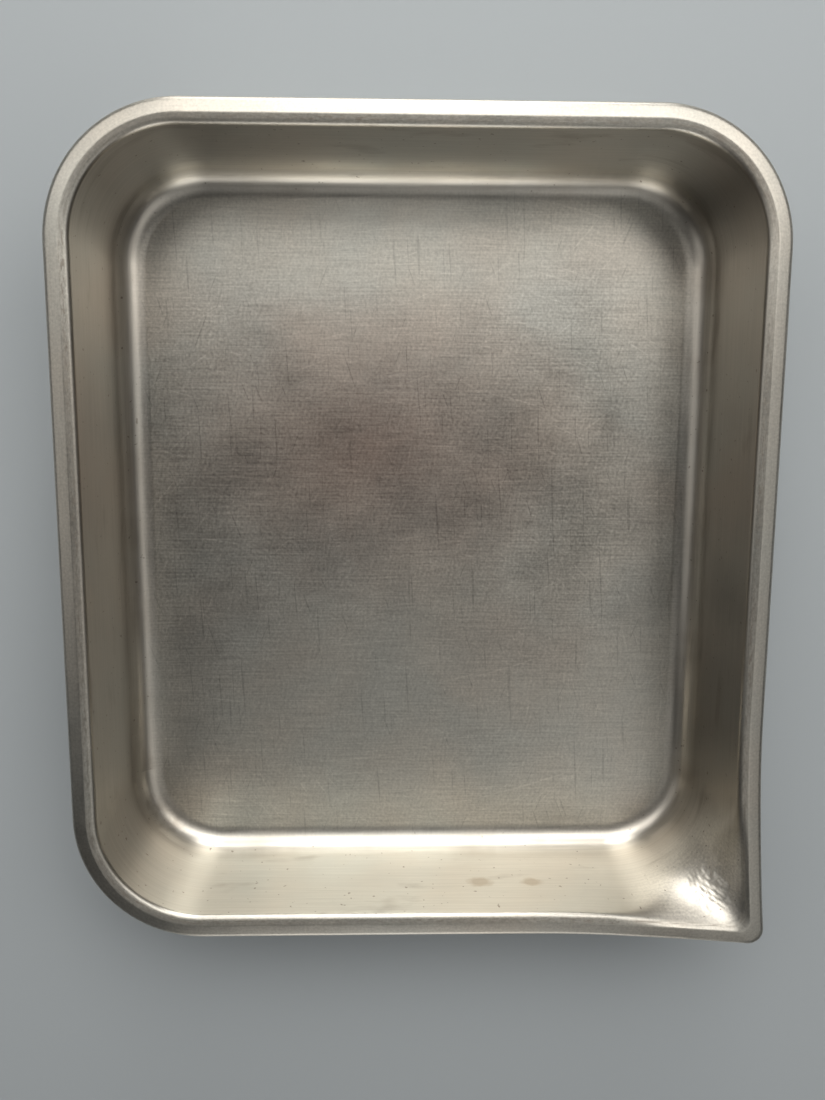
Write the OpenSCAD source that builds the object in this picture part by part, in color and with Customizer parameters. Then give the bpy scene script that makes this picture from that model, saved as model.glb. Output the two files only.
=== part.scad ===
// Rectangular pressed-steel pan with a rolled rim and a pouring lip at one corner.
// The pan lies open side up. Z = 0 is the underside of its flat base and the
// origin is the centre of that base. The pouring lip is at the +X, -Y corner.

/* [Pan] */
// Width across the rim, outside edge to outside edge
rim_w = 320; // [280:1:360]
// Length across the rim, outside edge to outside edge
rim_l = 375; // [330:1:420]
// Height from the base to the top of the rim
pan_h = 65; // [55:1:80]
// Plan radius of the rounded corners at the outside edge
corner_r = 59; // [50:1:70]
// Thickness of the sheet
sheet = 0.9; // [0.7:0.1:1.2]
// Lean of the walls away from upright, in degrees
draft = 3.9; // [2:0.1:8]
// Radius inside the pan where the floor turns up into the wall
floor_r = 12; // [9:0.5:14]

/* [Rim] */
// Distance from the outside edge to the top of the wall
flange_w = 11.4; // [10.5:0.1:13]
// Radius where the wall turns out into the flange
shoulder_r = 3; // [2:0.1:4]
// Distance from the outside edge to the ridge along the flange
ridge_in = 7; // [6.5:0.1:7.5]
// Radius of that ridge
ridge_r = 2.5; // [2:0.1:3]
// Fall of the flange from the ridge towards the pan, in degrees
fall_in = 12; // [5:1:15]
// Fall of the flange from the ridge towards the outside, in degrees
fall_out = 10; // [5:1:15]
// Outside radius of the rolled edge
curl_r = 3; // [2.8:0.1:3.2]
// How far the edge is rolled under, in degrees
curl_turn = 225; // [180:5:240]

/* [Pouring lip] */
// Depth of the pouring channel below the top of the wall
lip_depth = 29; // [15:1:36]
// Plan radius of the lip's outside corner
lip_r = 9; // [7:1:12]
// How far the two sides flare outwards at the lip
lip_flare = 8; // [0:0.5:10]
// Length of each side over which it flares
flare_run = 110; // [80:5:120]
// How far the tip of the lip drops
lip_drop = 1.5; // [0:0.5:3]

/* [Rim wire] */
// Smallest gap between the stiffening wire and the inside of the rolled edge
wire_gap = 0.05; // [0.05:0.05:0.5]

/* [Hidden] */

// Steps in each stretch of the cross-section and of the plan
FLOOR_STEPS = 6;
WALL_STEPS = 8;
SHOULDER_STEPS = 4;
RIDGE_STEPS = 2;
CURL_STEPS = 9;
CORNER_STEPS = 9;
LIP_SIDE_STEPS = 5;
LIP_TIP_STEPS = 5;
FLARE_STEPS = 5;
WIRE_SIDES = 10;

half_w = rim_w / 2;
half_l = rim_l / 2;

// Centre of the plan arc that the pouring lip is pulled out from
lip_c = [half_w - corner_r, corner_r - half_l];
// Share of the lip's outline that each of its straight sides takes at the rim
TIP_START = 0.4;
// Share of the lip's outline at each side that the channel doesn't reach
CHANNEL_START = 0.12;
// How much the lip's plan radius shrinks for each millimetre in from the edge
TIP_TAPER = 0.35;
// The channel's valley starts this far round the corner from the diagonal, in degrees
VALLEY_TURN = 5;
// Distance from the lip over which its pull on the plan fades out
PULL_RUN = 60;
// Above 1, the channel starts gently at the wall and levels out towards the rim
CHANNEL_EASE = 2.4;

function dir(a) = [cos(a), sin(a)];
function clamp(x) = min(1, max(0, x));
function ease(x) = let (t = clamp(x)) t * t * (3 - 2 * t);
function arc(c, r, a0, a1, steps, first = 0) =
    [for (k = [first:steps]) c + r * dir(a0 + (a1 - a0) * k / steps)];

// Cross-section of the sheet, as [distance in from the outside edge, height].
// Each bend is an arc about a fixed centre, and the stretches between are tangents.
wall_n = dir(draft);
band_n = dir(90 - fall_in);
ridge_c = [ridge_in, pan_h - ridge_r];
wall_reach = wall_n * [flange_w, pan_h];
curl_c = [
    curl_r,
    ridge_c[1] + (ridge_r - curl_r - sin(fall_out) * (ridge_in - curl_r)) / cos(fall_out)
];
band_reach = band_n * ridge_c + ridge_r - shoulder_r;
shoulder_det = wall_n[0] * band_n[1] - wall_n[1] * band_n[0];
shoulder_c = [
    ((wall_reach - shoulder_r) * band_n[1] - wall_n[1] * band_reach) / shoulder_det,
    (wall_n[0] * band_reach - (wall_reach - shoulder_r) * band_n[0]) / shoulder_det
];
floor_c = [
    (wall_reach + floor_r - wall_n[1] * (sheet + floor_r)) / wall_n[0],
    sheet + floor_r
];
wall_top = shoulder_c[1] + shoulder_r * wall_n[1];

// One skin of the sheet, from the floor to the end of the rolled edge.
// off = 0 is the skin inside the pan, and off = sheet is the skin behind it.
function skin(off) =
    let (
        foot = arc(floor_c, floor_r + off, 270, 180 + draft, FLOOR_STEPS),
        top = arc(shoulder_c, shoulder_r - off, draft, 90 - fall_in, SHOULDER_STEPS)
    )
    concat(
        foot,
        [for (k = [1:WALL_STEPS - 1])
            foot[FLOOR_STEPS] + (top[0] - foot[FLOOR_STEPS]) * k / WALL_STEPS],
        top,
        arc(ridge_c, ridge_r - off, 90 - fall_in, 90 + fall_out, RIDGE_STEPS),
        arc(curl_c, curl_r - off, 90 + fall_out, 90 + fall_out + curl_turn, CURL_STEPS)
    );

inner = skin(0);
outer = skin(sheet);

// The inside of the roll is nearest to its centre at the middle of each step
wire_r = (curl_r - sheet) * cos(curl_turn / CURL_STEPS / 2) - wire_gap;
rows = len(inner);
wall_rows = FLOOR_STEPS + WALL_STEPS;

// How far a row of the section lies below the top of the wall, 0 on the rim
function depth_of(i) = i < wall_rows ? wall_top - inner[i][1] : 0;
wall_depth = depth_of(FLOOR_STEPS);

// Corner of the lip at a row, t = 0 to 1 round it. Low on the wall it is the pan's own
// round corner. Its radius shrinks on the way up, until it is nearly square at the rim.
function lip_point(in, t, depth) =
    let (
        across = clamp((t - CHANNEL_START) / (1 - 2 * CHANNEL_START)),
        channel = lip_depth * sin(180 * across),
        pull = depth <= 0 ? 1
            : channel <= depth ? 0
            : pow(1 - depth / channel, CHANNEL_EASE),
        reach = corner_r - in,
        tip = max(1, lip_r - TIP_TAPER * in),
        radius = reach + pull * (tip - reach),
        straight = reach - radius,
        start = TIP_START * pull,
        u = (t - start) / (1 - 2 * start),
        turn = 270 + 90 * u + (1 - pull) * VALLEY_TURN * sin(180 * u)
    )
    u < 0 ? lip_c + [straight * t / start, -reach]
    : u > 1 ? lip_c + [reach, -straight * (1 - t) / start]
    : lip_c + [straight, -straight] + radius * dir(turn);

// Where round the lip its points lie, close together at the tip
lip_ts = concat(
    [for (k = [0:LIP_SIDE_STEPS - 1]) TIP_START * k / LIP_SIDE_STEPS],
    [for (k = [0:LIP_TIP_STEPS - 1]) TIP_START + (1 - 2 * TIP_START) * k / LIP_TIP_STEPS],
    [for (k = [0:LIP_SIDE_STEPS]) 1 - TIP_START * (1 - k / LIP_SIDE_STEPS)]
);

// Plan of one row, anticlockwise from the corner before the lip
function plan(in, depth) =
    let (run = flare_run - corner_r)
    concat(
        arc([-lip_c[0], lip_c[1]], corner_r - in, 180, 270, CORNER_STEPS),
        [for (k = [0:FLARE_STEPS - 1])
            [lip_c[0] - run * (1 - k / FLARE_STEPS), in - half_l]],
        [for (t = lip_ts) lip_point(in, t, depth)],
        [for (k = [1:FLARE_STEPS]) [half_w - in, lip_c[1] + run * k / FLARE_STEPS]],
        arc([lip_c[0], -lip_c[1]], corner_r - in, 0, 90, CORNER_STEPS),
        arc([-lip_c[0], -lip_c[1]], corner_r - in, 90, 180, CORNER_STEPS)
    );

// Outward flare of a side, at a distance along it from the lip
function flare(u) = lip_flare * pow(clamp(1 - max(0, u) / flare_run), 2);

// A plan point at its height, with the flare and drop of the lip at their share
function placed(p, z, share) =
    let (
        ux = half_w - p[0],
        uy = p[1] + half_l,
        near = pow(clamp(1 - norm([ux, uy]) / PULL_RUN), 2)
    )
    [
        p[0] + share * flare(uy) * ease(1 - ux / PULL_RUN),
        p[1] - share * flare(ux) * ease(1 - uy / PULL_RUN),
        z - share * lip_drop * near
    ];

function ring(p, depth) =
    [for (q = plan(p[0], depth)) placed(q, p[1], clamp(1 - depth / wall_depth))];

sides = len(plan(0, 0));

// Two triangles for each step between ring a and ring b
function strip(a, b) =
    [for (k = [0:sides - 1])
        let (n = (k + 1) % sides)
        each [
            [a * sides + k, a * sides + n, b * sides + n],
            [a * sides + k, b * sides + n, b * sides + k]
        ]
    ];

// Pressed from one sheet: floor, walls, flange, rolled edge and pouring lip
module pan_shell() {
    rings = concat(
        [for (i = [0:rows - 1]) ring(inner[i], depth_of(i))],
        [for (i = [rows - 1:-1:0]) ring(outer[i], depth_of(i))]
    );
    last = len(rings) - 1;
    color("silver")
    polyhedron(
        points = [for (r = rings) each r],
        faces = concat(
            [[for (k = [sides - 1:-1:0]) k]],
            [for (a = [0:last - 1]) each strip(a, a + 1)],
            [[for (k = [0:sides - 1]) last * sides + k]]
        )
    );
}

// Round wire that the rolled edge is closed over, all the way round the rim
module rim_wire() {
    rings = [for (k = [0:WIRE_SIDES - 1])
        ring(curl_c + wire_r * dir(360 * k / WIRE_SIDES), 0)];
    color("gray")
    polyhedron(
        points = [for (r = rings) each r],
        faces = [for (a = [0:WIRE_SIDES - 1]) each strip(a, (a + 1) % WIRE_SIDES)]
    );
}

pan_shell();
rim_wire();
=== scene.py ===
"""Looks of a pressed stainless-steel pan with a rolled rim and a pouring lip at one corner."""

from math import cos, hypot, pi, radians, sin

import bpy
from mathutils import Euler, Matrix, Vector, noise


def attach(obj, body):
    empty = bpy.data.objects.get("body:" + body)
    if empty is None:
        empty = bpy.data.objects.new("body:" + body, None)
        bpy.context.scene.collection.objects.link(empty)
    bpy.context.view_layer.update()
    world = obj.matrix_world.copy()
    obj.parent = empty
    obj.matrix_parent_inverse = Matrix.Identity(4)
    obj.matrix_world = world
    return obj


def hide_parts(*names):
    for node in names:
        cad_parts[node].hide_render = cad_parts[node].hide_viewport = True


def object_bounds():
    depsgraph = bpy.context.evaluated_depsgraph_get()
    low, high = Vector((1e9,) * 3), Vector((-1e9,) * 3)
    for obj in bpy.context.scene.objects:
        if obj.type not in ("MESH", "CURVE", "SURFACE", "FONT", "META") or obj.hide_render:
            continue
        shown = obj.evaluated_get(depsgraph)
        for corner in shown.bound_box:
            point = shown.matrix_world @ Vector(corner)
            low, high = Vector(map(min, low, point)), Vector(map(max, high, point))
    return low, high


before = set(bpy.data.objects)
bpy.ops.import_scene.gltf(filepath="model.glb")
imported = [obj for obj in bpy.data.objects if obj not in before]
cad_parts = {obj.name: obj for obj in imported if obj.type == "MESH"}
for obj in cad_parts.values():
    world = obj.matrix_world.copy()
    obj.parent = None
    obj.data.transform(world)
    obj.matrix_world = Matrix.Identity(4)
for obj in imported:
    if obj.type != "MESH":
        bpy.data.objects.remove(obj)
cad_box = [list(corner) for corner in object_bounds()]

MM = 0.001

# Dimensions of the pan in millimetres, the same as in part.scad
RIM_W = 320
RIM_L = 375
PAN_H = 65
CORNER_R = 59
SHEET = 0.9
DRAFT = 3.9
FLOOR_R = 12
FLANGE_W = 11.4
SHOULDER_R = 3
RIDGE_IN = 7
RIDGE_R = 2.5
FALL_IN = 12
FALL_OUT = 10
CURL_R = 3
CURL_TURN = 225
LIP_DEPTH = 29
LIP_R = 9
LIP_FLARE = 8
FLARE_RUN = 110
LIP_DROP = 1.5
WIRE_GAP = 0.05
CAD_CURL_STEPS = 9
TIP_START = 0.4
CHANNEL_START = 0.12
TIP_TAPER = 0.35
VALLEY_TURN = 5
PULL_RUN = 60
CHANNEL_EASE = 2.4

HALF_W = RIM_W / 2
HALF_L = RIM_L / 2
LIP_C = (HALF_W - CORNER_R, CORNER_R - HALF_L)

# Steps of the visible mesh
FOOT_STEPS = 12
WALL_STEPS = 52
SHOULDER_STEPS = 8
RIDGE_STEPS = 6
CURL_STEPS = 24
BACK_WALL_STEPS = 52
CORNER_STEPS = 30
LIP_SIDE_STEPS = 44
LIP_TIP_STEPS = 26
SIDE_STEP = 9.0
FLOOR_RINGS = 14
BASE_RINGS = 4
WIRE_SIDES = 16

# Slow waves of a pressed sheet, in millimetres, and a second set that is weaker and shorter
WAVE_DEPTH = 0.22
WAVE_LENGTH = 85.0
SECOND_WAVE = 0.4
SECOND_WAVE_SHORTER = 2.3

# Wrinkles of the lip, in millimetres; each of two crossing sets has a turn and a noise offset
PUCKER_DEPTH = 0.34
PUCKER_RUN = (7.0, 2.2)
PUCKER_SETS = ((0.9, 3.0), (-0.7, 11.0))
PUCKER_SHARPNESS = 5
PUCKER_MIDDLE = Vector((143.0, -168.0, 54.0))
PUCKER_REACH = 15.0
PUCKER_FULLNESS = 1.6
DIAGONAL = Vector((1, -1, 0)).normalized()
CROSSWISE = Vector((1, 1, 0)).normalized()
INTO_PAN = (Vector((0, 0, 1)) - DIAGONAL).normalized()

# The lip's channel is a soft dish, so its rows are relaxed within this reach of its middle
DISH_MIDDLE = Vector((144.0, -171.0, 57.0))
DISH_REACH = 50.0
DISH_FULLNESS = 1.5
DISH_PASSES = 260
DISH_STEP = 0.5
DISH_RIM_ROWS = 12

# Parts of the sheet that are finished differently, and its inside, each kept as an attribute
ZONES = ("floor", "foot", "rim", "residue", "inside")
LIP_ZONE = "lip"
# Rows over which one of them gives way to the next
FLOOR_FADE = 0.45 * FOOT_STEPS
FOOT_FADE = 1.3 * FOOT_STEPS
RIM_START = 2
RIM_FADE = 4
RESIDUE_FADE = 3


def polar(degrees):
    return (cos(radians(degrees)), sin(radians(degrees)))


def clamp(x):
    return min(1.0, max(0.0, x))


def ease(x):
    t = clamp(x)
    return t * t * (3 - 2 * t)


def lerp(a, b, t):
    return (a[0] + (b[0] - a[0]) * t, a[1] + (b[1] - a[1]) * t)


def dot(a, b):
    return a[0] * b[0] + a[1] * b[1]


def arc(centre, radius, start, end, steps, first=0):
    turns = [polar(start + (end - start) * k / steps) for k in range(first, steps + 1)]
    return [(centre[0] + radius * c, centre[1] + radius * s) for c, s in turns]


def solve_section():
    """Centres of the bends, as (distance in from the edge, height), and the top of the wall."""
    wall_n = polar(DRAFT)
    band_n = polar(90 - FALL_IN)
    ridge = (RIDGE_IN, PAN_H - RIDGE_R)
    rise = RIDGE_R - CURL_R - sin(radians(FALL_OUT)) * (RIDGE_IN - CURL_R)
    curl = (CURL_R, ridge[1] + rise / cos(radians(FALL_OUT)))
    wall_reach = dot(wall_n, (FLANGE_W, PAN_H))
    band_reach = dot(band_n, ridge) + RIDGE_R - SHOULDER_R
    det = wall_n[0] * band_n[1] - wall_n[1] * band_n[0]
    inner_reach = wall_reach - SHOULDER_R
    shoulder = (
        (inner_reach * band_n[1] - wall_n[1] * band_reach) / det,
        (wall_n[0] * band_reach - inner_reach * band_n[0]) / det,
    )
    foot_z = SHEET + FLOOR_R
    foot = ((wall_reach + FLOOR_R - wall_n[1] * foot_z) / wall_n[0], foot_z)
    return foot, shoulder, ridge, curl, shoulder[1] + SHOULDER_R * wall_n[1]


FOOT_C, SHOULDER_C, RIDGE_C, CURL_C, WALL_TOP = solve_section()


def skin(off, wall_steps):
    """One skin of the sheet from the floor to the end of the roll, as [(in, height)]."""
    foot = arc(FOOT_C, FLOOR_R + off, 270, 180 + DRAFT, FOOT_STEPS)
    shoulder = arc(SHOULDER_C, SHOULDER_R - off, DRAFT, 90 - FALL_IN, SHOULDER_STEPS)
    wall = [lerp(foot[-1], shoulder[0], k / wall_steps) for k in range(1, wall_steps)]
    ridge = arc(RIDGE_C, RIDGE_R - off, 90 - FALL_IN, 90 + FALL_OUT, RIDGE_STEPS)
    curl = arc(CURL_C, CURL_R - off, 90 + FALL_OUT, 90 + FALL_OUT + CURL_TURN, CURL_STEPS)
    return foot + wall + shoulder + ridge + curl


INNER = skin(0, WALL_STEPS)
OUTER = skin(SHEET, BACK_WALL_STEPS)
WALL_DEPTH = WALL_TOP - INNER[FOOT_STEPS][1]


def depth_below(i, wall_steps):
    """How far a row lies below the top of the wall, 0 on the rim."""
    if i < FOOT_STEPS:
        return WALL_TOP - INNER[i][1]
    return WALL_DEPTH * (1 - min(1, (i - FOOT_STEPS) / wall_steps))


def lip_point(inset, t, depth):
    """Corner of the lip: the pan's round corner low on the wall, and nearly square at the rim."""
    across = clamp((t - CHANNEL_START) / (1 - 2 * CHANNEL_START))
    channel = LIP_DEPTH * sin(pi * across)
    if depth <= 0:
        pull = 1.0
    elif channel <= depth:
        pull = 0.0
    else:
        pull = (1 - depth / channel) ** CHANNEL_EASE
    reach = CORNER_R - inset
    radius = reach + pull * (max(1, LIP_R - TIP_TAPER * inset) - reach)
    straight = reach - radius
    start = TIP_START * pull
    u = (t - start) / (1 - 2 * start)
    if u < 0:
        return (LIP_C[0] + straight * t / start, LIP_C[1] - reach)
    if u > 1:
        return (LIP_C[0] + reach, LIP_C[1] - straight * (1 - t) / start)
    c, s = polar(270 + 90 * u + (1 - pull) * VALLEY_TURN * sin(pi * u))
    return (LIP_C[0] + straight + radius * c, LIP_C[1] - straight + radius * s)


def lip_shares():
    """Where round the lip its points lie, close together at the tip."""
    before = [TIP_START * k / LIP_SIDE_STEPS for k in range(LIP_SIDE_STEPS)]
    tip_share = 1 - 2 * TIP_START
    tip = [TIP_START + tip_share * k / LIP_TIP_STEPS for k in range(LIP_TIP_STEPS)]
    after = [1 - TIP_START * (1 - k / LIP_SIDE_STEPS) for k in range(LIP_SIDE_STEPS + 1)]
    return before + tip + after


LIP_TS = lip_shares()


def side(start, end):
    """Points strictly between two ends of a straight side."""
    count = max(2, round(hypot(end[0] - start[0], end[1] - start[1]) / SIDE_STEP))
    return [lerp(start, end, k / count) for k in range(1, count)]


def plan(inset, depth):
    """One row seen from above, anticlockwise from the corner before the lip."""
    reach = CORNER_R - inset
    near = (-LIP_C[0], LIP_C[1])
    far_right = (LIP_C[0], -LIP_C[1])
    far_left = (-LIP_C[0], -LIP_C[1])
    points = arc(near, reach, 180, 270, CORNER_STEPS)
    points += side(points[-1], (LIP_C[0], inset - HALF_L))
    points += [lip_point(inset, t, depth) for t in LIP_TS]
    right = arc(far_right, reach, 0, 90, CORNER_STEPS)
    points += side(points[-1], right[0]) + right
    left = arc(far_left, reach, 90, 180, CORNER_STEPS)
    points += side(points[-1], left[0]) + left
    points += side(points[-1], points[0])
    return points


def flare(u):
    return LIP_FLARE * clamp(1 - max(0, u) / FLARE_RUN) ** 2


def placed(p, z, share):
    ux = HALF_W - p[0]
    uy = p[1] + HALF_L
    near = clamp(1 - hypot(ux, uy) / PULL_RUN) ** 2
    x = p[0] + share * flare(uy) * ease(1 - ux / PULL_RUN)
    y = p[1] - share * flare(ux) * ease(1 - uy / PULL_RUN)
    return Vector((x, y, z - share * LIP_DROP * near))


def ring(point, depth):
    share = clamp(1 - depth / WALL_DEPTH)
    return [placed(p, point[1], share) for p in plan(point[0], depth)]


def make_object(name, vertices, faces):
    mesh = bpy.data.meshes.new(name)
    mesh.from_pydata([v * MM for v in vertices], [], faces)
    mesh.polygons.foreach_set("use_smooth", [True] * len(mesh.polygons))
    mesh.update()
    obj = bpy.data.objects.new(name, mesh)
    bpy.context.scene.collection.objects.link(obj)
    return obj


def band(a, b, n):
    """Four-sided faces between ring a and ring b."""
    faces = []
    for k in range(n):
        m = (k + 1) % n
        faces.append((a * n + k, b * n + k, b * n + m, a * n + m))
    return faces


def pucker(v):
    """Height of the small wrinkles that the press leaves where metal is gathered into the lip."""
    away = (v - PUCKER_MIDDLE).length / PUCKER_REACH
    if away >= 1:
        return 0.0
    along = v.dot(DIAGONAL)
    across = v.dot(CROSSWISE)
    height = 0.0
    for turn, shift in PUCKER_SETS:
        a = along * cos(turn) - across * sin(turn)
        b = along * sin(turn) + across * cos(turn)
        fold = noise.noise(Vector((a / PUCKER_RUN[0], b / PUCKER_RUN[1], shift)))
        height += 1 - min(1, abs(fold) * PUCKER_SHARPNESS)
    return PUCKER_DEPTH * height * ease(PUCKER_FULLNESS * (1 - away))


def uneven(v, wall_share):
    """Moves a point of the sheet by its slow waves, which fade out towards the rim."""
    short = noise.noise(v * SECOND_WAVE_SHORTER / WAVE_LENGTH)
    wave = noise.noise(v / WAVE_LENGTH) + SECOND_WAVE * short
    outwards = Vector((v.x / HALF_W, v.y / HALF_L, 0))
    return v + outwards * wave * WAVE_DEPTH * wall_share


def path_lengths(points):
    lengths = [0.0]
    for a, b in zip(points, points[1:]):
        lengths.append(lengths[-1] + hypot(b[0] - a[0], b[1] - a[1]))
    return lengths


def skin_points(section, wall_steps):
    """Rings of one skin, uneven along its walls and softened round the lip."""
    rings = []
    for i, p in enumerate(section):
        depth = depth_below(i, wall_steps)
        share = sin(pi * clamp(depth / WALL_DEPTH))
        rings.append([uneven(v, share) for v in ring(p, depth)])
    return relax(rings, wall_steps)


def section_zones(i, wall_steps):
    """How far row i of a skin belongs to the (floor, foot, rim, residue beside the ridge)."""
    wall_end = FOOT_STEPS + wall_steps
    floor = clamp(1 - i / FLOOR_FADE)
    foot = sin(pi * clamp(i / FOOT_FADE))
    rim = clamp((i - wall_end - RIM_START) / RIM_FADE)
    residue = clamp(1 - abs(i - wall_end - SHOULDER_STEPS) / RESIDUE_FADE)
    return floor, foot, rim, residue


def dish_share(v):
    """How far a point belongs to the dish: 1 round its middle, and 0 beyond its reach."""
    return ease(DISH_FULLNESS * (1 - (v - DISH_MIDDLE).length / DISH_REACH))


def relax(skin_rows, wall_steps):
    """Rounds the valley and the shoulder of the lip, and leaves the ridge and the roll alone."""
    n = len(skin_rows[0])
    first = FOOT_STEPS + 1
    last = FOOT_STEPS + wall_steps + DISH_RIM_ROWS
    shares = [[dish_share(v) for v in row] for row in skin_rows]
    top = FOOT_STEPS + wall_steps + SHOULDER_STEPS
    for i in range(first, last):
        fade = clamp((last - i) / (last - top + 1)) if i > top else 1.0
        shares[i] = [s * fade for s in shares[i]]
    for _ in range(DISH_PASSES):
        for i in range(first, last):
            row, below, above = skin_rows[i], skin_rows[i - 1], skin_rows[i + 1]
            moved = []
            for k, v in enumerate(row):
                if shares[i][k] <= 0:
                    moved.append(v)
                    continue
                near = (below[k] + above[k] + row[k - 1] + row[(k + 1) % n]) / 4
                moved.append(v.lerp(near, DISH_STEP * shares[i][k]))
            skin_rows[i] = moved
    return skin_rows


def flat_row(points, share, height, zones):
    """A row of the flat floor or base, at a share of the way from its middle; no grain length."""
    return [Vector((p.x * share, p.y * share, height)) for p in points], zones, None


def pan_rows():
    """Rows of the sheet, as [(points, zones, length along the section)].

    They go from the floor's middle up the wall, round the roll and back under the base. The zones
    are in the order of ZONES.
    """
    foot = ring(INNER[0], depth_below(0, WALL_STEPS))
    rows = [
        flat_row(foot, k / FLOOR_RINGS, SHEET, (1, 0, 0, 0, 1)) for k in range(1, FLOOR_RINGS)
    ]
    along = path_lengths(INNER)
    for i, points in enumerate(skin_points(INNER, WALL_STEPS)):
        points = [v + INTO_PAN * pucker(v) for v in points]
        rows.append((points, (*section_zones(i, WALL_STEPS), 1), along[i]))
    back = path_lengths(OUTER)
    outer_points = skin_points(OUTER, BACK_WALL_STEPS)
    for i in range(len(OUTER) - 1, -1, -1):
        floor, foot_share, rim, _ = section_zones(i, BACK_WALL_STEPS)
        rows.append((outer_points[i], (floor, foot_share, rim, 0, 0), back[i]))
    base = rows[-1][0]
    for k in range(BASE_RINGS - 1, 0, -1):
        rows.append(flat_row(base, k / BASE_RINGS, 0, (1, 0, 0, 0, 0)))
    return rows


def within_cad_box(v):
    """Holds a vertex inside the CAD box, which this mesh's finer steps would pass by 0.1 mm."""
    low, high = cad_box
    return Vector([min(max(v[i], low[i] / MM), high[i] / MM) for i in range(3)])


def add_zones(mesh, rows, n):
    def write(name, values):
        mesh.attributes.new(name + "_zone", "FLOAT", "POINT").data.foreach_set("value", values)

    for z, name in enumerate(ZONES):
        values = [zones[z] for _, zones, _ in rows for _ in range(n)]
        # The last two vertices are the middle of the floor and of the underside
        write(name, values + [rows[0][1][z], rows[-1][1][z]])
    write(LIP_ZONE, [dish_share(v.co / MM) for v in mesh.vertices])


def add_grain(mesh, rows, n):
    """A map with U along the grain: straight across the flat floor, and along the rim elsewhere."""
    # One row's lengths serve every row, so that U runs straight up the wall
    middle = next(points for points, _, along in rows if along is not None)
    around = [0.0]
    for a, b in zip(middle, middle[1:] + middle[:1]):
        around.append(around[-1] + (b - a).length)
    layer = mesh.uv_layers.new(name="grain")
    for face in mesh.polygons:
        corners = [mesh.loops[c].vertex_index for c in face.loop_indices]
        on_floor = any(v // n >= len(rows) or rows[v // n][2] is None for v in corners)
        closes = {v % n for v in corners} == {0, n - 1}
        for c, v in zip(face.loop_indices, corners):
            if on_floor:
                co = mesh.vertices[v].co
                layer.data[c].uv = (co.x, co.y)
            else:
                u = around[n] if closes and v % n == 0 else around[v % n]
                layer.data[c].uv = (u * MM, rows[v // n][2] * MM)


def make_pan():
    rows = pan_rows()
    n = len(rows[0][0])
    vertices = [within_cad_box(v) for points, _, _ in rows for v in points]
    faces = []
    for r in range(len(rows) - 1):
        faces += band(r, r + 1, n)
    first_centre = len(vertices)
    vertices.append(Vector((0, 0, SHEET)))
    vertices.append(Vector((0, 0, 0)))
    end = (len(rows) - 1) * n
    for k in range(n):
        m = (k + 1) % n
        faces.append((first_centre, k, m))
        faces.append((first_centre + 1, end + m, end + k))
    obj = make_object("pressed_pan", vertices, faces)
    add_zones(obj.data, rows, n)
    add_grain(obj.data, rows, n)
    return obj


def make_wire():
    wire_r = (CURL_R - SHEET) * cos(radians(CURL_TURN / CAD_CURL_STEPS / 2)) - WIRE_GAP
    rows = []
    for k in range(WIRE_SIDES):
        c, s = polar(360 * k / WIRE_SIDES)
        rows.append(ring((CURL_C[0] + wire_r * c, CURL_C[1] + wire_r * s), 0))
    n = len(rows[0])
    faces = []
    for a in range(WIRE_SIDES):
        faces += band(a, (a + 1) % WIRE_SIDES, n)
    return make_object("stiffening_wire", [v for row in rows for v in row], faces)


# Ragged edge of a spot: its scale per metre, and the share of the radius at which it ends
SPOT_EDGE_SCALE = (160, 160, 160)
SPOT_END = 1.25


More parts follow.
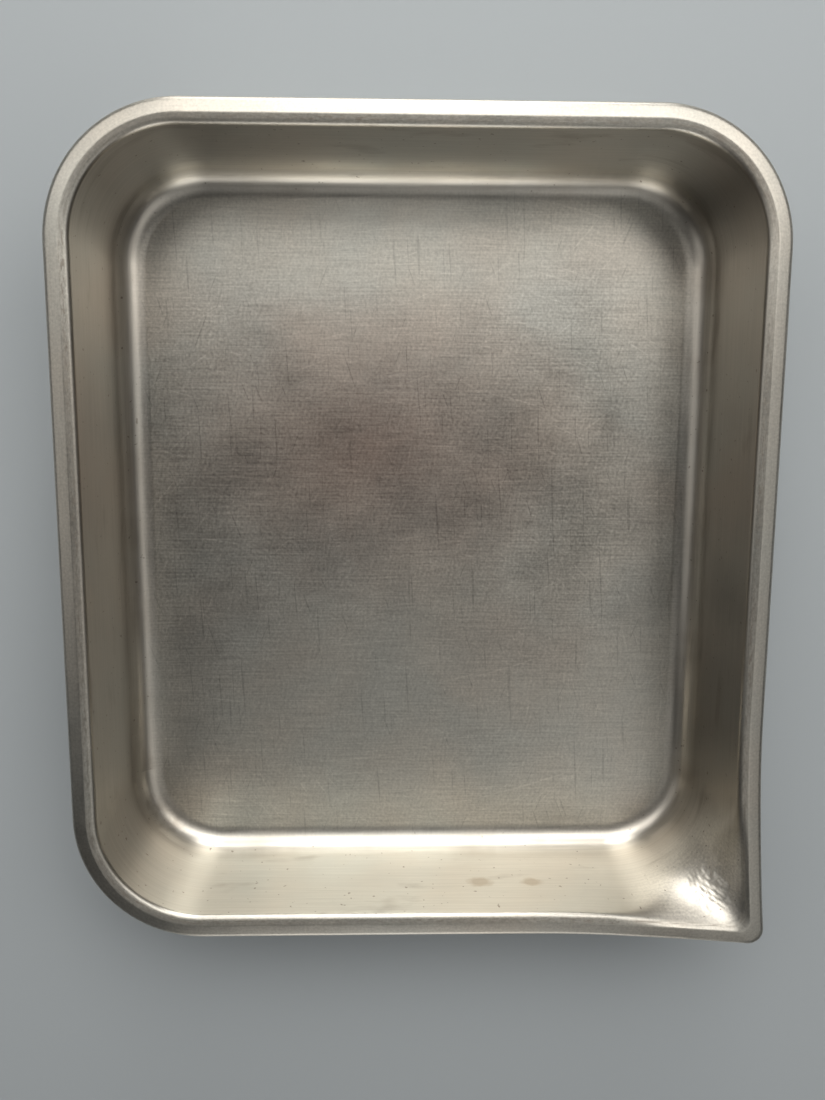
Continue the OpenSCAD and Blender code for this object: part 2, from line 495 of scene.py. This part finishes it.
class Shader:
    """Builds one procedural metal, with short calls for the nodes that it uses."""

    def __init__(self, name, roughness, anisotropy):
        self.material = bpy.data.materials.new(name)
        self.material.use_nodes = True
        self.tree = self.material.node_tree
        self.bsdf = self.tree.nodes["Principled BSDF"]
        self.bsdf.inputs["Metallic"].default_value = 1.0
        self.bsdf.inputs["Roughness"].default_value = roughness
        self.bsdf.inputs["Anisotropic"].default_value = anisotropy

    def node(self, kind, **settings):
        made = self.tree.nodes.new(kind)
        for key, value in settings.items():
            setattr(made, key, value)
        return made

    def feed(self, socket, value):
        if isinstance(value, bpy.types.NodeSocket):
            self.tree.links.new(value, socket)
        else:
            socket.default_value = value

    def math(self, operation, a, b=0.0, clamped=False):
        made = self.node("ShaderNodeMath", operation=operation, use_clamp=clamped)
        self.feed(made.inputs[0], a)
        self.feed(made.inputs[1], b)
        return made.outputs[0]

    def total(self, first, *rest):
        for item in rest:
            first = self.math("ADD", first, item)
        return first

    def times(self, a, b):
        return self.math("MULTIPLY", a, b)

    def most(self, first, *rest):
        for item in rest:
            first = self.math("MAXIMUM", first, item)
        return first

    def centred(self, noise_value):
        """A noise value about 0 instead of about 0.5."""
        return self.math("SUBTRACT", noise_value, 0.5)

    def place(self):
        """Position on the object in metres; the object never leaves its own origin."""
        return self.node("ShaderNodeTexCoord").outputs["Object"]

    def split(self, vector):
        made = self.node("ShaderNodeSeparateXYZ")
        self.feed(made.inputs[0], vector)
        return made.outputs

    def length(self, vector):
        made = self.node("ShaderNodeVectorMath", operation="LENGTH")
        self.feed(made.inputs[0], vector)
        return made.outputs["Value"]

    def from_point(self, centre):
        """Vector to here from a point given in millimetres."""
        made = self.node("ShaderNodeVectorMath", operation="SUBTRACT")
        self.feed(made.inputs[0], self.place())
        made.inputs[1].default_value = [c * MM for c in centre]
        return made.outputs[0]

    def grain(self):
        return self.node("ShaderNodeUVMap", uv_map="grain").outputs["UV"]

    def zone(self, name):
        return self.node("ShaderNodeAttribute", attribute_name=name).outputs["Fac"]

    def scaled(self, vector, scale, turn=0.0, shift=(0, 0, 0)):
        """Turns a vector about Z by so many degrees, moves it, and then scales each axis."""
        turned = self.node("ShaderNodeMapping")
        self.feed(turned.inputs["Vector"], vector)
        turned.inputs["Rotation"].default_value = (0, 0, radians(turn))
        turned.inputs["Location"].default_value = shift
        made = self.node("ShaderNodeVectorMath", operation="MULTIPLY")
        self.feed(made.inputs[0], turned.outputs[0])
        made.inputs[1].default_value = scale
        return made.outputs[0]

    def noise(self, vector, scale=(1, 1, 1), turn=0.0, shift=(0, 0, 0), detail=2.0):
        made = self.node("ShaderNodeTexNoise")
        self.feed(made.inputs["Vector"], self.scaled(vector, scale, turn, shift))
        made.inputs["Scale"].default_value = 1.0
        made.inputs["Detail"].default_value = detail
        return made.outputs["Fac"]

    def pattern(self, vector, recipe, turn=0.0, shift=(0, 0, 0)):
        """Noise put through a ramp; the recipe is (scale, detail, ends of the ramp)."""
        scale, detail, ends = recipe
        return self.ramp(self.noise(vector, scale, turn, shift, detail), *ends)

    def ramp(self, value, low, high, to_low=0.0, to_high=1.0):
        made = self.node("ShaderNodeMapRange")
        self.feed(made.inputs["Value"], value)
        ends = (("From Min", low), ("From Max", high), ("To Min", to_low), ("To Max", to_high))
        for name, end in ends:
            made.inputs[name].default_value = end
        return made.outputs[0]

    def mix(self, share, a, b):
        made = self.node("ShaderNodeMix", data_type="RGBA")
        self.feed(made.inputs[0], share)
        for socket, colour in ((made.inputs[6], a), (made.inputs[7], b)):
            self.feed(socket, (*colour, 1) if isinstance(colour, tuple) else colour)
        return made.outputs[2]

    def spot(self, centre, radii, ragged, core=0.85):
        """1 in the core of a blot on the sheet and 0 outside it, with a ragged edge."""
        away = self.length(self.scaled(self.from_point(centre), [1 / (r * MM) for r in radii]))
        rough = self.noise(self.place(), SPOT_EDGE_SCALE, detail=3)
        return self.ramp(self.total(away, self.times(rough, ragged)), SPOT_END, core)

    def bumped(self, height, strength, distance):
        made = self.node("ShaderNodeBump")
        made.inputs["Strength"].default_value = strength
        made.inputs["Distance"].default_value = distance
        self.feed(made.inputs["Height"], height)
        self.feed(self.bsdf.inputs["Normal"], made.outputs["Normal"])


# Colours of the steel, of what clings to it and of its tarnish, and of the painted reflection and
# the painted highlight
STEEL = (0.62, 0.59, 0.53)
STEEL_COOL = (0.585, 0.58, 0.535)
STEEL_WARM = (0.61, 0.555, 0.49)
# Painted reflection: a warm dark colour that stands in for a reflection in the middle of the floor
PAINTED_REFLECTION = (0.40, 0.30, 0.255)
# Painted highlight: a lighter colour on the bends at the floor and on the lip
PAINTED_HIGHLIGHT = (0.76, 0.73, 0.67)
RESIDUE = (0.17, 0.13, 0.10)
DIRT = (0.25, 0.20, 0.145)
WATER_STAIN = (0.44, 0.375, 0.30)

FLOOR_ROUGHNESS = 0.33
WALL_ROUGHNESS = 0.31
FOOT_ROUGHNESS = 0.33
RIM_ROUGHNESS = 0.38
LIP_ROUGHNESS = 0.43
# Satin steel is never as sharp as a mirror, and below about 0.27 the renderer takes it for one
LEAST_ROUGHNESS = 0.285
ANISOTROPY = 0.35
# A quarter turn lays the stretched highlights across the grain
HIGHLIGHT_TURN = 0.25

# Marks of the floor's finish: scale per metre, turn in degrees, detail and share of the whole
WEAVE = (
    ((45, 1100, 1), 0, 3, 0.36),
    ((900, 120, 1), 9, 2, 0.20),
    ((760, 760, 1), 31, 3, 0.44),
)
# Scales per metre of the marks along the walls, of the speckle and of the ground flange
DRAWN_SCALE = (22, 900, 1)
SPECKLE_SCALE = (900, 900, 900)
GROUND_SCALE = (60, 1500, 1)
GROUND_SPECKLE = 0.7
# How strongly each zone shows its texture
FLOOR_TEXTURE = 1.5
WALL_TEXTURE = 0.35
LIP_TEXTURE = 0.8
RIM_TEXTURE = 0.9

# Dark strokes: turn in degrees, noise offset, width and length in metres, and rarity
DARK_STROKES = (
    (87, (0.3, 0.1, 0), 0.0017, 0.045, 0.66),
    (70, (0.7, 0.4, 0), 0.0015, 0.026, 0.70),
    (112, (1.1, 0.9, 0), 0.0015, 0.026, 0.71),
)
STROKE_EDGE = 0.05
GAP_TURN = 20
# Light arcs: centre in millimetres, width in metres, and rarity
LIGHT_ARCS = (((10, -90, 0), 0.0016, 0.66), ((-60, 260, 0), 0.0016, 0.68))
ARC_EDGE = 0.06
ARC_PIECES = 5.0
ARC_OFF_FLOOR = 0.15

# Patterns: scale per metre, detail, and the ramp from (low, high) to (low, high)
STROKE_GAPS = ((30, 30, 1), 1, (0.3, 0.5, 0, 1))
COLOUR_DRIFT = ((17, 15, 17), 3, (0.38, 0.64, 0, 1))
WARM_PATCHES = ((11, 13, 11), 2, (0.5, 0.72, 0, 0.8))
WARM_SHIFT = (4, 2, 0)
WARM_OFF_FLOOR = 0.3
RESIDUE_BREAKS = ((260, 900, 1), 3, (0.42, 0.62, 0, 1))
RESIDUE_PATCHES = ((14, 14, 1), 2, (0.35, 0.6, 0.35, 1))
WALL_SMEARS = ((24, 70, 1), 4, (0.6, 0.74, 0, 0.35))
EDGE_DIRT = ((26, 26, 1), 4, (0.5, 0.72, 0, 0.36))
PITS = ((420, 420, 420), 1, (0.735, 0.76, 0, 0.6))
CLOUDY_WEAR = ((28, 28, 28), 4, (0.3, 0.7, -0.03, 0.045))

# Marks on the inside, in millimetres: middle and radii; the first is a painted reflection
PAINTED_REFLECTION_SPOT = ((-22, 40, 0), (112, 76, 400))
NEAR_LEFT_DIRT = ((-118, -148, 0), (30, 20, 400))
WATER_STAINS = (((32, -172, 38), (9, 30, 5.5)), ((58, -172, 38), (8, 30, 4.5)))
# Share of the painted reflection in the colour
PAINTED_REFLECTION_STRENGTH = 0.85
LEFT_DIRT_STRENGTH = 0.55
STAIN_STRENGTH = 0.75
RESIDUE_STRENGTH = 0.6

# The side walls start and are complete this far from the middle, in metres
SIDE_WALLS = (0.112, 0.138)
SIDE_FILM = 0.42
RIM_FILM = 0.12
# Shares of the painted highlight on the bends at the floor and on the lip
FOOT_PAINTED_HIGHLIGHT = 0.5
LIP_PAINTED_HIGHLIGHT = 0.9

# How much the texture and the scratches change the colour, the roughness and the relief
TEXTURE_SHADE = 0.9
LIGHT_SHADE = 0.10
DARK_SHADE = -0.17
TEXTURE_ROUGHNESS = 0.16
SOIL_ROUGHNESS = 0.16
SCRATCH_RELIEF = -0.1
RESIDUE_RELIEF = 0.25
RELIEF_STRENGTH = 0.14
RELIEF_DISTANCE = 0.00018


def fine_scratches(sh, at, turn, shift, width, length, rarity):
    """Thin separate scratches in one direction; rarity nearer to 1 leaves fewer."""
    lines = sh.noise(at, (1 / length, 1 / width, 1), turn, shift, detail=1)
    gaps = sh.pattern(at, STROKE_GAPS, turn + GAP_TURN, shift)
    return sh.times(sh.ramp(lines, rarity, rarity + STROKE_EDGE), gaps)


def arc_scratches(sh, centre, width, rarity):
    """Scratches along circles about a far centre, as a scouring hand leaves them."""
    away = sh.from_point(centre)
    x, y, _ = sh.split(away)
    joined = sh.node("ShaderNodeCombineXYZ")
    sh.feed(joined.inputs[0], sh.times(sh.math("ARCTAN2", y, x), ARC_PIECES))
    sh.feed(joined.inputs[1], sh.times(sh.length(away), 1 / width))
    made = sh.node("ShaderNodeTexNoise")
    sh.feed(made.inputs["Vector"], joined.outputs[0])
    made.inputs["Scale"].default_value = 1.0
    made.inputs["Detail"].default_value = 1.0
    return sh.ramp(made.outputs["Fac"], rarity, rarity + ARC_EDGE)


def fine_texture(sh, at, grain, on):
    """The finish of each zone, about 0 in the middle of its range."""
    marks = [
        sh.times(sh.noise(at, scale, turn, detail=detail), share)
        for scale, turn, detail, share in WEAVE
    ]
    weave = sh.total(*marks)
    drawn = sh.noise(grain, DRAWN_SCALE, detail=3)
    speckled = sh.noise(at, SPECKLE_SCALE, detail=4)
    ground = sh.total(
        sh.times(speckled, GROUND_SPECKLE),
        sh.times(sh.noise(grain, GROUND_SCALE), 1 - GROUND_SPECKLE),
    )
    return sh.total(
        sh.times(sh.centred(weave), sh.times(on["floor"], FLOOR_TEXTURE)),
        sh.times(sh.centred(drawn), sh.times(on["wall"], WALL_TEXTURE)),
        sh.times(sh.centred(speckled), sh.times(sh.times(on["lip"], on["wall"]), LIP_TEXTURE)),
        sh.times(sh.centred(ground), sh.times(on["rim"], RIM_TEXTURE)),
    )


def scratches(sh, at, on):
    """Dark strokes across the floor's brushing, and light arcs that are fainter off the floor."""
    dark = sh.most(*[fine_scratches(sh, at, *stroke) for stroke in DARK_STROKES])
    light = sh.most(*[arc_scratches(sh, *mark) for mark in LIGHT_ARCS])
    light = sh.times(light, sh.ramp(on["floor"], 0, 1, ARC_OFF_FLOOR, 1))
    return sh.times(dark, on["floor"]), light


def steel_and_painted_reflection(sh, at, on):
    """Broad drifts of the steel's colour, and a painted reflection: a warm dark blot in the middle
    of the floor.
    """
    colour = sh.mix(sh.pattern(at, COLOUR_DRIFT), STEEL_COOL, STEEL)
    warm = sh.pattern(at, WARM_PATCHES, shift=WARM_SHIFT)
    warm_share = sh.times(warm, sh.ramp(on["floor"], 0, 1, WARM_OFF_FLOOR, 1))
    colour = sh.mix(warm_share, colour, STEEL_WARM)
    # Painted reflection: a warm dark blot in the middle of the floor
    painted_reflection = sh.spot(*PAINTED_REFLECTION_SPOT, ragged=0.25, core=0.1)
    return sh.mix(sh.times(sh.times(painted_reflection, on["inside"]), PAINTED_REFLECTION_STRENGTH), colour, PAINTED_REFLECTION)


def ridge_residue(sh, grain, on):
    """Broken dark line beside the ridge of the flange."""
    broken = sh.pattern(grain, RESIDUE_BREAKS)
    return sh.times(sh.times(on["residue"], broken), sh.pattern(grain, RESIDUE_PATCHES))


def filmed_and_highlighted(sh, at, on, colour):
    """A thin brown film on the side walls, a dull flange, and a painted highlight: a lighter colour
    on the bends at the floor and on the lip.
    """
    sideways = sh.ramp(sh.math("ABSOLUTE", sh.split(at)[0]), *SIDE_WALLS)
    film = sh.total(
        sh.times(sh.times(sideways, on["wall"]), SIDE_FILM),
        sh.times(on["rim"], RIM_FILM),
    )
    colour = sh.mix(sh.times(film, sh.math("SUBTRACT", 1.0, on["lip"])), colour, RESIDUE)
    # Painted highlight: a lighter colour on the bends at the floor and on the lip
    painted_highlight = sh.most(
        sh.times(on["foot"], FOOT_PAINTED_HIGHLIGHT),
        sh.times(sh.times(on["lip"], on["wall"]), LIP_PAINTED_HIGHLIGHT),
    )
    return sh.mix(painted_highlight, colour, PAINTED_HIGHLIGHT)


def soiled(sh, at, on, colour):
    """Dirt where the floor meets the wall, water stains, and small dark pits."""
    edge_dirt = sh.times(on["foot"], sh.pattern(at, EDGE_DIRT))
    left_dirt = sh.times(sh.spot(*NEAR_LEFT_DIRT, ragged=1.0), LEFT_DIRT_STRENGTH)
    dirt = sh.most(edge_dirt, sh.times(left_dirt, on["foot"]))
    colour = sh.mix(sh.times(dirt, on["inside"]), colour, DIRT)
    stains = sh.most(*[sh.spot(*stain, ragged=0.8) for stain in WATER_STAINS])
    stains = sh.times(sh.times(stains, on["inside"]), STAIN_STRENGTH)
    colour = sh.mix(stains, colour, WATER_STAIN)
    return sh.mix(sh.times(sh.pattern(at, PITS), on["wall"]), colour, RESIDUE)


def worn_roughness(sh, at, on, texture, soil):
    """Roughness by zone, with the same texture and cloudy wear."""
    roughness = sh.total(
        WALL_ROUGHNESS,
        sh.times(on["floor"], FLOOR_ROUGHNESS - WALL_ROUGHNESS),
        sh.times(on["foot"], FOOT_ROUGHNESS - WALL_ROUGHNESS),
        sh.times(on["rim"], RIM_ROUGHNESS - WALL_ROUGHNESS),
        sh.times(sh.times(on["lip"], on["wall"]), LIP_ROUGHNESS - WALL_ROUGHNESS),
        sh.times(texture, TEXTURE_ROUGHNESS),
        sh.times(soil, SOIL_ROUGHNESS),
        sh.pattern(at, CLOUDY_WEAR),
    )
    return sh.most(roughness, LEAST_ROUGHNESS)


def pan_steel():
    """Worn satin stainless steel: brushed floor, smoother walls and a coarser ground flange."""
    sh = Shader("pan_steel", WALL_ROUGHNESS, ANISOTROPY)
    at, grain = sh.place(), sh.grain()
    on = {name: sh.zone(name + "_zone") for name in (*ZONES, LIP_ZONE)}
    off_wall = sh.most(on["floor"], on["rim"])
    on["wall"] = sh.math("SUBTRACT", 1.0, off_wall, clamped=True)

    texture = fine_texture(sh, at, grain, on)
    dark, light = scratches(sh, at, on)
    residue = ridge_residue(sh, grain, on)
    smears = sh.times(sh.pattern(grain, WALL_SMEARS), on["wall"])

    # Steel colour, with a painted reflection in the middle of the floor
    colour = steel_and_painted_reflection(sh, at, on)
    colour = sh.mix(sh.times(residue, RESIDUE_STRENGTH), colour, RESIDUE)
    # Film on the walls and flange, and a painted highlight on the bends and the lip
    colour = filmed_and_highlighted(sh, at, on, colour)
    colour = sh.mix(smears, colour, RESIDUE)
    colour = soiled(sh, at, on, colour)
    shade = sh.total(
        1.0,
        sh.times(texture, TEXTURE_SHADE),
        sh.times(light, LIGHT_SHADE),
        sh.times(dark, DARK_SHADE),
    )
    shaded = sh.node("ShaderNodeVectorMath", operation="SCALE")
    sh.feed(shaded.inputs[0], colour)
    sh.feed(shaded.inputs["Scale"], shade)
    sh.feed(sh.bsdf.inputs["Base Color"], shaded.outputs[0])

    roughness = worn_roughness(sh, at, on, texture, sh.most(residue, smears))
    sh.feed(sh.bsdf.inputs["Roughness"], roughness)
    relief = sh.total(
        texture,
        sh.times(dark, SCRATCH_RELIEF),
        sh.times(light, SCRATCH_RELIEF),
        sh.times(residue, RESIDUE_RELIEF),
    )
    sh.bumped(relief, RELIEF_STRENGTH, RELIEF_DISTANCE)
    tangent = sh.node("ShaderNodeTangent", direction_type="UV_MAP", uv_map="grain")
    sh.feed(sh.bsdf.inputs["Tangent"], tangent.outputs[0])
    sh.bsdf.inputs["Anisotropic Rotation"].default_value = HIGHLIGHT_TURN
    return sh.material


WIRE_DARK = (0.36, 0.36, 0.35)
WIRE_LIGHT = (0.48, 0.475, 0.46)
WIRE_ROUGHNESS = 0.42
WIRE_STREAKS = (90, 90, 1400)
WIRE_RELIEF_STRENGTH = 0.3
WIRE_RELIEF_DISTANCE = 0.0002


def wire_steel():
    """Plain drawn wire, duller than the sheet and streaked along its length."""
    sh = Shader("wire_steel", WIRE_ROUGHNESS, 0.0)
    drawn = sh.noise(sh.place(), WIRE_STREAKS, detail=3)
    colour = sh.mix(sh.ramp(drawn, 0.35, 0.65), WIRE_DARK, WIRE_LIGHT)
    sh.feed(sh.bsdf.inputs["Base Color"], colour)
    sh.feed(sh.bsdf.inputs["Roughness"], sh.ramp(drawn, 0.3, 0.7, 0.36, 0.5))
    sh.bumped(drawn, WIRE_RELIEF_STRENGTH, WIRE_RELIEF_DISTANCE)
    return sh.material


# Studio: a pale floor, soft lights all round, and the camera at the photo's angle
TABLE_HALF = 2.0
TABLE_COLOUR = (0.47, 0.515, 0.55, 1)
TABLE_ROUGHNESS = 0.7

LIGHT_AWAY = 1.5
LIGHT_COLOUR = (1.0, 0.97, 0.92)
# Each soft light's name, azimuth and elevation in degrees, width in metres and power in watts
STUDIO = (
    ("far_low", 0, 12, 0.9, 11.3),
    ("far_middle", 0, 47, 0.9, 5.5),
    ("far_high", 0, 63, 0.9, 1.5),
    ("far_left", 315, 47, 0.9, 3.2),
    ("far_right", 45, 47, 0.9, 5.2),
    ("right", 90, 50, 0.9, 1.1),
    ("left", 270, 40, 0.9, 1.0),
    ("near_right", 135, 47, 0.9, 1.1),
    ("near_high", 180, 63, 0.9, 0.6),
    ("near_low", 180, 12, 0.9, 3.6),
    ("overhead", 0, 81, 0.35, 0.06),
)
WORLD_COLOUR = (0.8, 0.82, 0.84, 1)
WORLD_STRENGTH = 0.03

CAMERA_LENS = 29.45
CAMERA_SENSOR = 36
CAMERA_PLACE = (-0.01276, 0.0553, 0.4597)
CAMERA_TURN = (-8.268, -1.346, 0.265)


def make_floor():
    square = ((-1, -1), (1, -1), (1, 1), (-1, 1))
    corners = [Vector((x * TABLE_HALF, y * TABLE_HALF, 0)) / MM for x, y in square]
    floor = make_object("floor", corners, [(0, 1, 2, 3)])
    material = bpy.data.materials.new("pale_floor")
    material.use_nodes = True
    bsdf = material.node_tree.nodes["Principled BSDF"]
    bsdf.inputs["Base Color"].default_value = TABLE_COLOUR
    bsdf.inputs["Roughness"].default_value = TABLE_ROUGHNESS
    floor.data.materials.append(material)


def area_light(name, azimuth, elevation, size, power):
    """A soft light aimed at the pan; azimuth 0 is over +Y and turns towards +X."""
    data = bpy.data.lights.new(name, "AREA")
    data.shape = "DISK"
    data.size = size
    data.energy = power
    data.color = LIGHT_COLOUR
    obj = bpy.data.objects.new(name, data)
    level = cos(radians(elevation)) * LIGHT_AWAY
    obj.location = (
        level * sin(radians(azimuth)),
        level * cos(radians(azimuth)),
        sin(radians(elevation)) * LIGHT_AWAY,
    )
    obj.rotation_euler = (-obj.location).to_track_quat("-Z", "Y").to_euler()
    obj.visible_camera = False
    bpy.context.scene.collection.objects.link(obj)


def make_world():
    world = bpy.data.worlds.new("studio")
    bpy.context.scene.world = world
    world.use_nodes = True
    background = world.node_tree.nodes["Background"]
    background.inputs["Color"].default_value = WORLD_COLOUR
    background.inputs["Strength"].default_value = WORLD_STRENGTH


def make_camera():
    data = bpy.data.cameras.new("camera")
    data.lens = CAMERA_LENS
    data.sensor_width = CAMERA_SENSOR
    obj = bpy.data.objects.new("camera", data)
    obj.location = CAMERA_PLACE
    obj.rotation_euler = Euler([radians(turn) for turn in CAMERA_TURN], "XYZ")
    bpy.context.scene.collection.objects.link(obj)
    bpy.context.scene.camera = obj


make_camera()
pan = make_pan()
pan.data.materials.append(pan_steel())
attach(pan, "root")
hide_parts("pan_shell")
wire = make_wire()
wire.data.materials.append(wire_steel())
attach(wire, "root")
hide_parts("rim_wire")
make_floor()
for light in STUDIO:
    area_light(*light)
make_world()
bpy.context.scene.view_settings.view_transform = "Standard"
